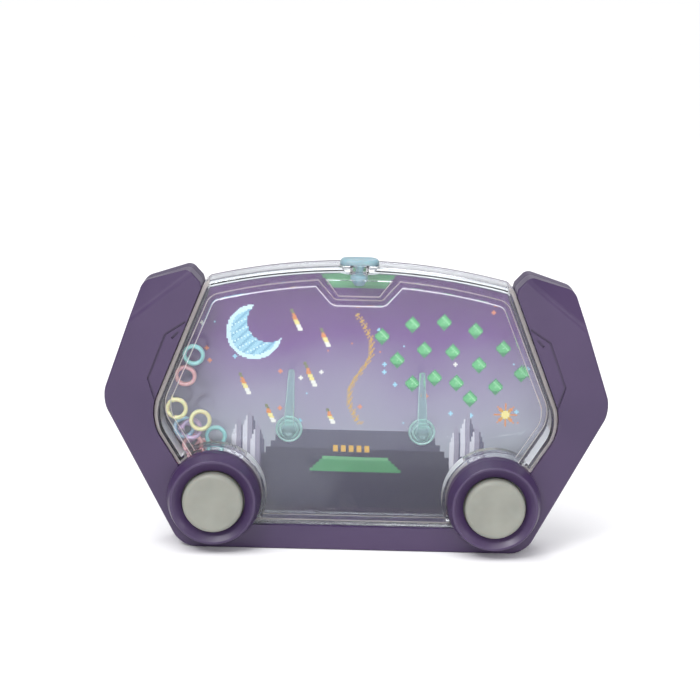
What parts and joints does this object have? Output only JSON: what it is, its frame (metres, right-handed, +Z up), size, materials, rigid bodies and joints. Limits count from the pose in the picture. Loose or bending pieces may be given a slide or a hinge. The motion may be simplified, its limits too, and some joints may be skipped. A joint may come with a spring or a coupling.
{
  "type": "handheld water game",
  "caption": "Handheld water game: clear tank with pegs and loose rings in a two-part casing, with push buttons that pump water jets.",
  "frame": {"origin": "middle of the flat foot, at the middle of the depth", "axes": "+X to the player's right across the width, -Y towards the player, +Z up"},
  "size_m": [0.1574, 0.0274, 0.0926],
  "materials": {
    "casing_violet": "dark violet polystyrene with a soft gloss",
    "clear_plastic": "clear polystyrene, polished inside and out, not glass",
    "printed_card": null,
    "plug_blue": "soft light blue plastic",
    "button_grey": "warm grey moulded plastic, satin",
    "bellows_rubber": "soft dark rubber",
    "pump_plastic": "natural white moulded plastic",
    "peg_turquoise": "translucent turquoise plastic",
    "screw_steel": "zinc plated",
    "ring_turquoise": "moulded plastic",
    "ring_yellow": "moulded plastic",
    "ring_lilac": "moulded plastic",
    "ring_blue": "moulded plastic",
    "ring_pink": "moulded plastic"
  },
  "bodies": {
    "housing": {"front_casing": "casing_violet", "rear_cover": "casing_violet", "tank_front": "clear_plastic", "tank_back": "clear_plastic", "filler_collar": "clear_plastic", "backdrop_card": "printed_card", "pump_bellows_left": "bellows_rubber", "pump_retainer_left": "pump_plastic", "jet_nozzle_left": "pump_plastic", "peg_left": "peg_turquoise", "pump_bellows_right": "bellows_rubber", "pump_retainer_right": "pump_plastic", "jet_nozzle_right": "pump_plastic", "peg_right": "peg_turquoise", "cover_screw_1": "screw_steel", "cover_screw_2": "screw_steel", "cover_screw_3": "screw_steel", "cover_screw_4": "screw_steel", "cover_screw_5": "screw_steel", "cover_screw_6": "screw_steel"},
    "button_left": {"button_left": "button_grey"},
    "button_right": {"button_right": "button_grey"},
    "filler_plug": {"filler_plug": "plug_blue"},
    "ring_turquoise_low": {"ring_turquoise_low": "ring_turquoise"},
    "ring_yellow": {"ring_yellow": "ring_yellow"},
    "ring_lilac": {"ring_lilac": "ring_lilac"},
    "ring_blue": {"ring_blue": "ring_blue"},
    "ring_pink_low": {"ring_pink_low": "ring_pink"},
    "ring_pink_foot": {"ring_pink_foot": "ring_pink"},
    "ring_lilac_low": {"ring_lilac_low": "ring_lilac"},
    "ring_turquoise_high": {"ring_turquoise_high": "ring_turquoise"},
    "ring_pink_high": {"ring_pink_high": "ring_pink"},
    "ring_yellow_high": {"ring_yellow_high": "ring_yellow"}
  },
  "joints": [
    {"name": "button_left_press", "type": "slide", "parent": "housing", "child": "button_left", "axis": [0, 1, 0], "range_m": [0, 0.003], "stiffness_N_per_m": 400, "springref_m": -0.0005, "deforming": ["pump_bellows_left"]},
    {"name": "button_right_press", "type": "slide", "parent": "housing", "child": "button_right", "axis": [0, 1, 0], "range_m": [0, 0.003], "stiffness_N_per_m": 400, "springref_m": -0.0005, "deforming": ["pump_bellows_right"]},
    {"name": "plug_pull", "type": "slide", "parent": "housing", "child": "filler_plug", "axis": [0, 0, 1], "range_m": [0, 0.012]},
    {"name": "ring_turquoise_low_drift", "type": "slide", "parent": "housing", "child": "ring_turquoise_low", "axis": [0.3779, 0, 0.9258], "range_m": [0, 0.01]},
    {"name": "ring_yellow_drift", "type": "slide", "parent": "housing", "child": "ring_yellow", "axis": [0.3779, 0, 0.9258], "range_m": [0, 0.01]},
    {"name": "ring_lilac_drift", "type": "slide", "parent": "housing", "child": "ring_lilac", "axis": [0.3779, 0, 0.9258], "range_m": [0, 0.01]},
    {"name": "ring_blue_drift", "type": "slide", "parent": "housing", "child": "ring_blue", "axis": [0.3779, 0, 0.9258], "range_m": [0, 0.01]},
    {"name": "ring_pink_low_drift", "type": "slide", "parent": "housing", "child": "ring_pink_low", "axis": [0, 0, 1], "range_m": [0, 0.01]},
    {"name": "ring_pink_foot_drift", "type": "slide", "parent": "housing", "child": "ring_pink_foot", "axis": [0.3779, 0, 0.9258], "range_m": [0, 0.01]},
    {"name": "ring_lilac_low_drift", "type": "slide", "parent": "housing", "child": "ring_lilac_low", "axis": [0.3779, 0, 0.9258], "range_m": [0, 0.01]},
    {"name": "ring_turquoise_high_drift", "type": "slide", "parent": "housing", "child": "ring_turquoise_high", "axis": [0.3779, 0, 0.9258], "range_m": [0, 0.01]},
    {"name": "ring_pink_high_drift", "type": "slide", "parent": "housing", "child": "ring_pink_high", "axis": [0.3779, 0, 0.9258], "range_m": [0, 0.01]},
    {"name": "ring_yellow_high_drift", "type": "slide", "parent": "housing", "child": "ring_yellow_high", "axis": [0.3779, 0, 0.9258], "range_m": [0, 0.01]}
  ]
}
